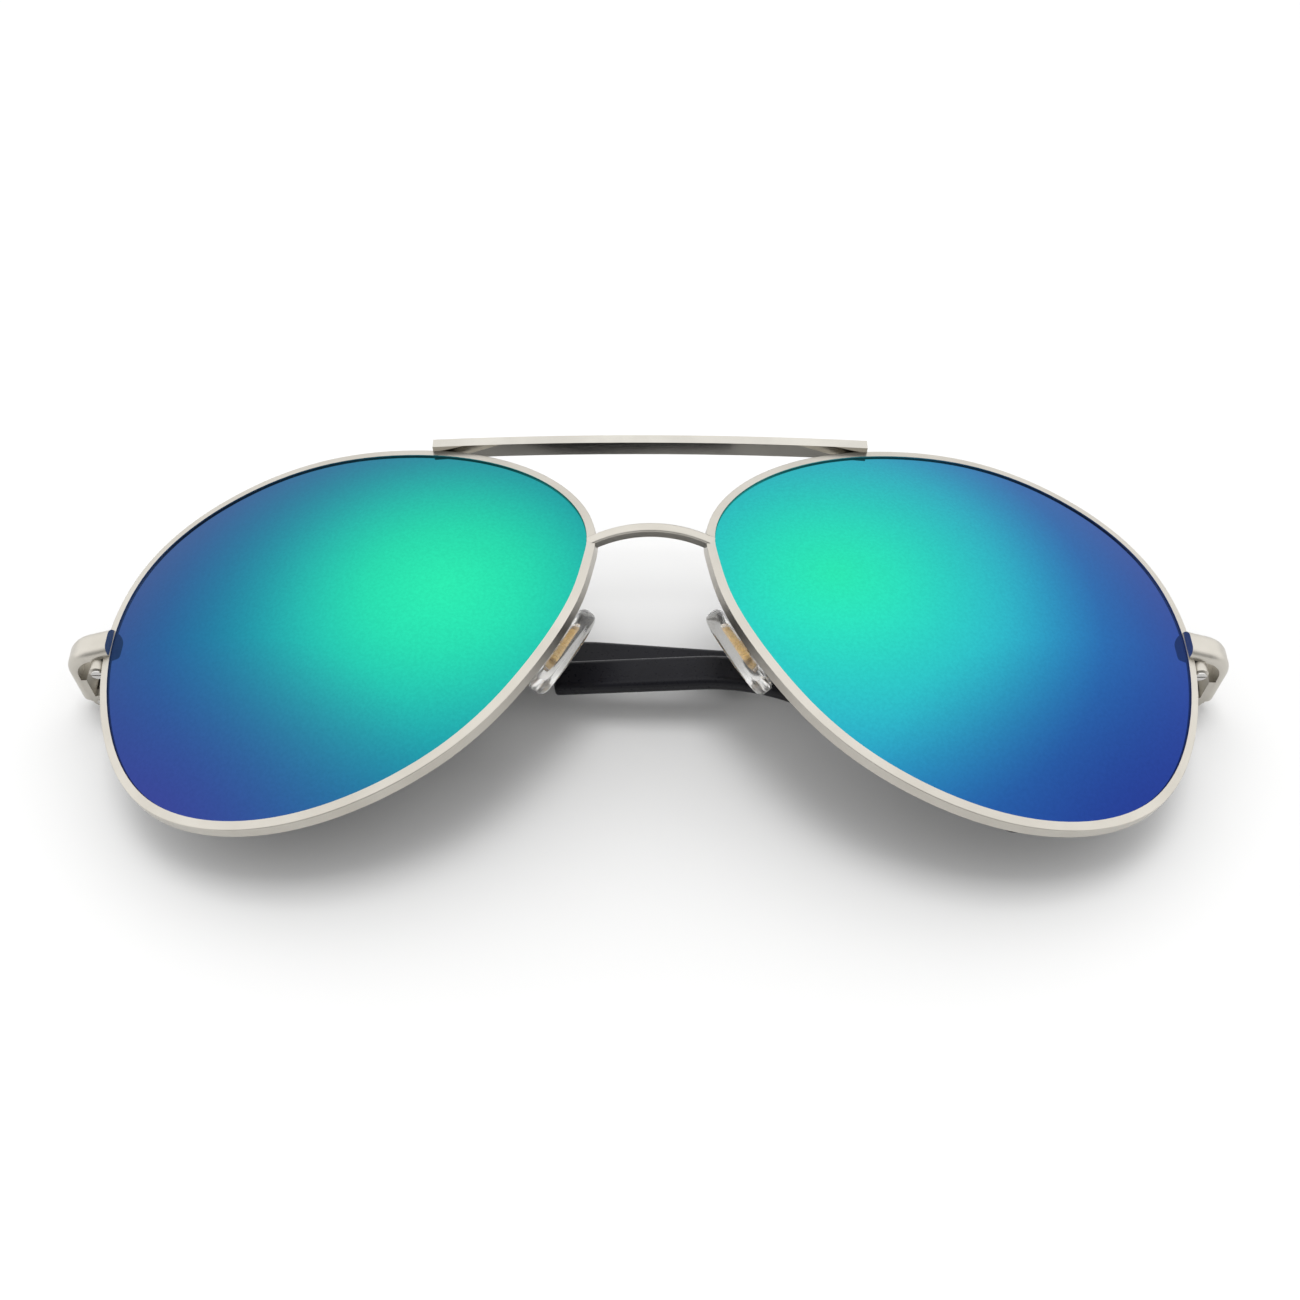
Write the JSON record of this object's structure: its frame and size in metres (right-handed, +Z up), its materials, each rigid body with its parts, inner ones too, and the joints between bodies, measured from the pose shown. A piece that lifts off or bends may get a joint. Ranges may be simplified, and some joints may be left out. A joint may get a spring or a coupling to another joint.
{
  "type": "aviator sunglasses",
  "caption": "Metal aviator sunglasses with mirrored teardrop lenses, brow bar, silicone nose pads and hinged temples with black sleeves, shown folded.",
  "frame": {"origin": "on the table, under the middle of the bounding box of the folded glasses", "axes": "+Z up from the table, +X to the right seen from in front of the lenses, +Y towards the brow bar"},
  "size_m": [0.15, 0.0548, 0.027],
  "materials": {
    "frame_metal": "satin silver, slightly warm",
    "lens_mirror": "green to blue mirror coating",
    "screw_metal": "bright",
    "pad_brass": "polished",
    "pad_silicone": "clear silicone",
    "sleeve_black": "satin black"
  },
  "bodies": {
    "front": {"brow_bar": "frame_metal", "bridge": "frame_metal", "left_rim": "frame_metal", "left_lens": "lens_mirror", "left_end_piece": "frame_metal", "left_rim_lock": "frame_metal", "left_rim_lock_screw": "screw_metal", "left_pad_arm": "frame_metal", "left_pad_box": "frame_metal", "left_pad_screw": "screw_metal", "left_hinge_leaf": "frame_metal", "left_hinge_screw": "screw_metal", "right_rim": "frame_metal", "right_lens": "lens_mirror", "right_end_piece": "frame_metal", "right_rim_lock": "frame_metal", "right_rim_lock_screw": "screw_metal", "right_pad_arm": "frame_metal", "right_pad_box": "frame_metal", "right_pad_screw": "screw_metal", "right_hinge_leaf": "frame_metal", "right_hinge_screw": "screw_metal"},
    "left_temple": {"left_temple_knuckle": "frame_metal", "left_temple_shaft": "frame_metal", "left_temple_sleeve": "sleeve_black"},
    "left_pad": {"left_pad_core": "pad_brass", "left_nose_pad": "pad_silicone"},
    "right_temple": {"right_temple_knuckle": "frame_metal", "right_temple_shaft": "frame_metal", "right_temple_sleeve": "sleeve_black"},
    "right_pad": {"right_pad_core": "pad_brass", "right_nose_pad": "pad_silicone"}
  },
  "joints": [
    {"name": "left_temple_hinge", "type": "hinge", "parent": "front", "child": "left_temple", "pos_m": [-0.0723, 0.00288, 0.00293], "axis": [0.0122, 0.9873, 0.1584], "range_deg": [0, 95.5]},
    {"name": "right_temple_hinge", "type": "hinge", "parent": "front", "child": "right_temple", "pos_m": [0.0723, 0.00288, 0.00293], "axis": [-0.0732, -0.9847, -0.158], "range_deg": [0, 91]},
    {"name": "left_pad_rock", "type": "hinge", "parent": "front", "child": "left_pad", "pos_m": [-0.01272, -0.00124, 0.01669], "axis": [0.4145, -0.3575, 0.8369], "range_deg": [-10, 10]},
    {"name": "right_pad_rock", "type": "hinge", "parent": "front", "child": "right_pad", "pos_m": [0.01272, -0.00124, 0.01669], "axis": [-0.4145, -0.3575, 0.8369], "range_deg": [-10, 10]}
  ],
  "couplings": [
    {"joint": "left_temple_hinge", "follows": "right_temple_hinge", "ratio": 1.047}
  ]
}
